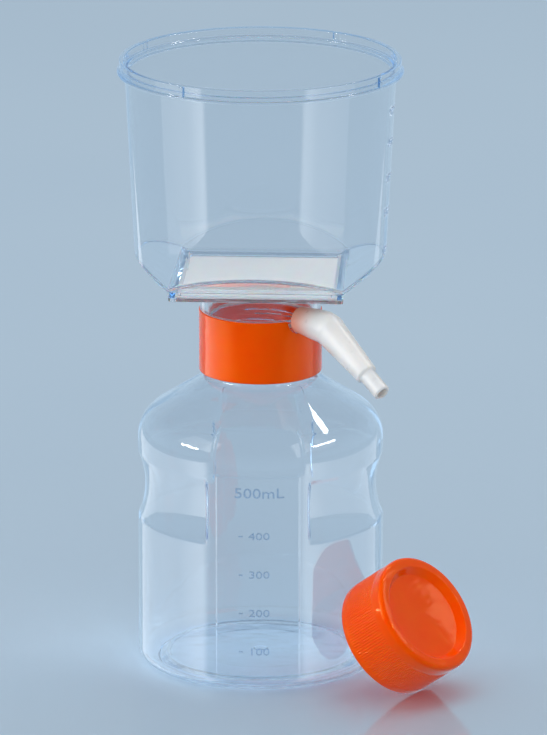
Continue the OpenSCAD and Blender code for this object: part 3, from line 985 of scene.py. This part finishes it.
def tick(length, height, r_at, azimuth, z):
    """A raised line round a wall."""
    bm = box_bm((-length / 2, -height / 2, -MARK_H / 2), (length / 2, height / 2, MARK_H / 2))
    bmesh.ops.subdivide_edges(bm, edges=bm.edges, cuts=3, use_grid_fill=True)
    bmesh.ops.scale(bm, vec=(1 / MM, 1 / MM, 1 / MM), verts=bm.verts)
    wrap(bm, 1, r_at, azimuth, z)
    return bm


def joined(parts):
    """One bmesh out of several, which are thrown away."""
    bm = bmesh.new()
    for part in parts:
        mesh = mesh_of("part", part)
        bm.from_mesh(mesh)
        bpy.data.meshes.remove(mesh)
    return bm


def bottle_marks():
    """Moulded figures on the front panel: 100 to 400 in even steps, each with a line, and 500mL above."""
    def wall(z):
        return BODY_R + LABEL_STEP

    parts = []
    for count in range(4):
        z = MARK_100 + count * MARK_STEP
        parts.append(figures(str(100 * (count + 1)), FIGURE_H, FIGURE_STRETCH, wall, MARK_AZ, z))
        parts.append(tick(1.6, 0.45, wall, MARK_AZ - FIGURE_TURN, z))
    parts.append(figures("500mL", TOP_FIGURE_H, TOP_FIGURE_STRETCH, wall, MARK_AZ, MARK_500))
    finish_mesh("bottle_graduations", joined(parts), "receiver", CLEAR_MARKS, LETTERED)


def funnel_marks():
    """Lines and figures up the funnel's right-hand wall."""
    def wall(z):
        return CUP_R + DRAFT * (z - FLANGE_TOP)

    parts = []
    turn = FUNNEL_MARK_AZ - FIGURE_TURN
    for count, z in enumerate(FUNNEL_MARKS):
        parts.append(tick(5.0, 0.5, wall, FUNNEL_MARK_AZ, z))
        parts.append(figures(str(100 * (count + 1)), FUNNEL_FIGURE_H, FUNNEL_FIGURE_STRETCH, wall, turn, z))
    finish_mesh("funnel_graduations", joined(parts), "filter_head", FAINT_MARKS, LETTERED)


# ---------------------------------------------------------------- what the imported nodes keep
def dress(node, material):
    """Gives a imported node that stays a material."""
    materials = frame["nodes"][node].data.materials
    materials.clear()
    materials.append(material)


# ---------------------------------------------------------------- stage
FLOOR_R = 14  # metres
FLOOR_DROP = 0.00003  # metres, so that the object's feet and the floor don't share a plane


def floor():
    """The pale bench. Gloss sees the world in its place, which is pale there too."""
    bm = bmesh.new()
    bmesh.ops.create_circle(bm, cap_ends=True, segments=96, radius=FLOOR_R)
    plane = new_object("floor", mesh_of("floor", bm))
    plane.location.z = -FLOOR_DROP
    made, tree, shader = new_material("pale_floor", IOR=1.5, Roughness=0.10)
    colour_by(tree, shader, noise(tree, 3, 2), (0.58, 0.75, 0.92), (0.61, 0.78, 0.94))
    plane.data.materials.append(made)
    plane.visible_glossy = False
    return plane


def backdrop(tree):
    """What shows behind the object and in its gloss: pale at the horizon, deeper overhead."""
    seen = tree.nodes.new("ShaderNodeBackground")
    place = tree.nodes.new("ShaderNodeTexCoord")
    split = tree.nodes.new("ShaderNodeSeparateXYZ")
    tree.links.new(place.outputs["Generated"], split.inputs["Vector"])
    rise = map_range(tree, split.outputs["Z"], 0.05, 0.75, kind="SMOOTHSTEP")
    grade = mixed(tree, rise, (0.50, 0.65, 0.79), (0.26, 0.33, 0.42))
    tree.links.new(grade, seen.inputs["Color"])
    return seen.outputs["Background"]


def world():
    """A dim white sky lights the object. The camera, gloss and clear walls see the backdrop instead."""
    made = bpy.data.worlds.new("studio")
    bpy.context.scene.world = made
    made.use_nodes = True
    tree = made.node_tree
    light = tree.nodes["Background"]
    light.inputs["Color"].default_value = (1, 1, 1, 1)
    light.inputs["Strength"].default_value = 0.40
    path = tree.nodes.new("ShaderNodeLightPath")
    seen = math_node(tree, "MAXIMUM", path.outputs["Is Camera Ray"], path.outputs["Is Glossy Ray"])
    seen = math_node(tree, "MAXIMUM", seen, path.outputs["Is Transmission Ray"])
    mix = tree.nodes.new("ShaderNodeMixShader")
    tree.links.new(seen, mix.inputs["Fac"])
    tree.links.new(light.outputs["Background"], mix.inputs[1])
    tree.links.new(backdrop(tree), mix.inputs[2])
    tree.links.new(mix.outputs["Shader"], tree.nodes["World Output"].inputs["Surface"])


# ---------------------------------------------------------------- lights
def area_light(name, azimuth, elevation, distance, size, power, spare=(), aim=(0, 0, 0.12)):
    """A lamp that looks at the object from an azimuth and elevation, in degrees and metres. It leaves out
    the objects of spare, so that a low lamp doesn't glare in the floor."""
    lamp = bpy.data.lights.new(name, "AREA")
    lamp.shape = "RECTANGLE"
    lamp.size, lamp.size_y = size
    lamp.energy = power
    rise = math.radians(elevation)
    away = around(azimuth, math.cos(rise), math.sin(rise))
    made = new_object(name, lamp)
    made.location = Vector(aim) + away * distance
    made.rotation_euler = away.to_track_quat("Z", "Y").to_euler()
    if spare:
        made.light_linking.receiver_collection = all_but(name + "_lights", spare)
    return made


def all_but(name, spare):
    """A collection for light linking that leaves out the objects of spare."""
    lit = bpy.data.collections.new(name)
    for left_out in spare:
        lit.objects.link(left_out)
    for link in lit.collection_objects:
        link.light_linking.link_state = "EXCLUDE"
    return lit


def soft_box(name, azimuth, elevation, distance, size, power, spare=()):
    """A large lamp that only lit surfaces see."""
    made = area_light(name, azimuth, elevation, distance, size, power, spare)
    made.visible_glossy = False
    made.visible_transmission = False


def sheen_light(name, azimuth, elevation, distance, size, power, spare, aim=(0, 0, 0.12)):
    """A lamp or a white card that only the object's gloss shows."""
    made = area_light(name, azimuth, elevation, distance, size, power, spare, aim)
    made.visible_diffuse = False
    made.visible_transmission = False
    return made


def fade(made, flip, stops):
    """A card's brightness runs through stops of place and level, from its front edge to its back."""
    lamp = made.data
    lamp.use_nodes = True
    tree = lamp.node_tree
    place = tree.nodes.new("ShaderNodeNewGeometry")
    split = tree.nodes.new("ShaderNodeSeparateXYZ")
    tree.links.new(place.outputs["Parametric"], split.inputs["Vector"])
    ramp = tree.nodes.new("ShaderNodeValToRGB")
    ramp.color_ramp.interpolation = "EASE"
    if flip:
        stops = [(1 - at, value) for at, value in stops[::-1]]
    while len(ramp.color_ramp.elements) < len(stops):
        ramp.color_ramp.elements.new(0.5)
    for element, (at, value) in zip(ramp.color_ramp.elements, stops):
        element.position = at
        element.color = (value, value, value, 1)
    tree.links.new(split.outputs["X"], ramp.inputs["Fac"])
    tree.links.new(ramp.outputs["Color"], tree.nodes["Emission"].inputs["Strength"])


def soft_boxes(bench):
    """Plain light for every lit surface. Only the one above lights the floor too."""
    soft_box("panel_left", -66, 32, 1.35, (1.5, 0.8), 10.0, [bench])
    soft_box("panel_right", 95, 36, 1.40, (1.4, 0.8), 4.5, [bench])
    soft_box("fill_front", -16, 12, 1.60, (1.4, 0.7), 8.0, [bench])
    soft_box("panel_top", 178, 72, 1.60, (1.6, 1.4), 9.0)


def gloss_lamps(bench, glass, opaque):
    """Broad gloss on the coloured pieces and the funnel's rim, and small streaks on the bottle's shoulder."""
    shell, _, base = glass
    cap = opaque[-1]
    sheen_light("gloss_left", -76, 37, 1.35, (1.7, 0.8), 7.0, [bench] + glass)
    sheen_light("gloss_right", 72, 36, 1.40, (1.6, 0.8), 3.0, [bench, cap] + glass)
    sheen_light("gloss_rim", 178, 72, 1.60, (1.6, 1.4), 14.0, [bench, shell, base] + opaque)
    sheen_light("hot_left", -70, 21, 1.20, (0.45, 0.10), 3.0, [bench])
    sheen_light("hot_right", 75, 34, 1.20, (0.5, 0.10), 3.0, [bench])
    sheen_light("hot_right_top", 125, 55, 1.20, (0.5, 0.10), 2.4, [bench])


CARD_FADE = [(0.0, 0.0), (0.14, 1.0), (0.5, 0.45), (1.0, 0.25)]
LONG_CARD_FADE = [(0.0, 0.0), (0.065, 1.0), (0.23, 0.45), (0.46, 0.28), (1.0, 0.28)]
RING_CARD_FADE = [(0.0, 0.0), (0.35, 1.0), (0.8, 1.0), (1.0, 0.9)]


def side_cards(side, azimuth, power, ring_power, bench, glass, opaque):
    """Upright white cards close to one side, which show as bands in the walls: one beside the funnel, one for
    the bottle that reaches far back and below the bench, and one that only the ring shows."""
    _, connector, cap = opaque
    forward = azimuth - math.copysign(90, azimuth)
    high = sheen_light("card_high_" + side, azimuth, 0, 0.13, (0.104, 0.091), 0.080 * power, [bench] + opaque,
                       around(forward, 0.056, 0.1845))
    low = sheen_light("card_low_" + side, azimuth, 0, 0.24, (0.742, 0.391), 2.7 * power, [bench] + opaque,
                      around(forward, -0.199, -0.1545))
    ring_card = sheen_light("card_ring_" + side, azimuth, 0, 0.13, (0.215, 0.12), ring_power,
                            [bench, connector, cap] + glass, (0, 0, 0.09))
    for card, stops in ((high, CARD_FADE), (low, LONG_CARD_FADE), (ring_card, RING_CARD_FADE)):
        fade(card, side == "left", stops)


def low_gloss(bench, glass, opaque):
    """A low streak on the coloured pieces, and a card for the cap alone."""
    ring, connector, _ = opaque
    others = [bench, ring, connector] + glass
    at_cap = around(CAP_AZ, (BODY_R + RING_R) * MM, 0.03)
    sheen_light("hot_low", -78, 5, 1.20, (0.5, 0.10), 2.5, [bench] + glass)
    sheen_light("card_cap", 100.2, 36.2, 1.30, (0.55, 0.44), 1.6, others, at_cap)


# ---------------------------------------------------------------- camera
def camera():
    """A long lens above and a little to the right of the front, which looks down and to the left."""
    lens = bpy.data.cameras.new("camera")
    lens.lens = CAMERA_LENS
    lens.sensor_width = 36
    lens.clip_end = 60
    made = new_object("camera", lens)
    made.location = CAMERA_AT
    heading = math.radians(CAMERA_HEADING)
    down = math.radians(CAMERA_DOWN)
    level = math.cos(down)
    forward = Vector((math.sin(heading) * level, math.cos(heading) * level, -math.sin(down)))
    made.rotation_euler = forward.to_track_quat("-Z", "Y").to_euler()
    bpy.context.scene.camera = made


def light_paths():
    """Enough turns for a ray to pass every clear wall."""
    cycles = bpy.context.scene.cycles
    cycles.max_bounces = 40
    cycles.transmission_bounces = 32
    cycles.glossy_bounces = 32
    cycles.transparent_max_bounces = 32


# ---------------------------------------------------------------- making
glass = [bottle(), funnel(), filter_base()]
opaque = [adapter_ring(), hose_connector(), storage_cap()]
bottle_marks()
funnel_marks()
dress("membrane", membrane_matt())
dress("neck_seal", seal_soft())
bench = floor()
world()
soft_boxes(bench)
gloss_lamps(bench, glass, opaque)
side_cards("left", -76, 1.0, 0.17, bench, glass, opaque)
side_cards("right", 72, 0.8, 0.08, bench, glass, opaque)
low_gloss(bench, glass, opaque)
camera()
light_paths()
bpy.context.scene.view_settings.view_transform = "Standard"
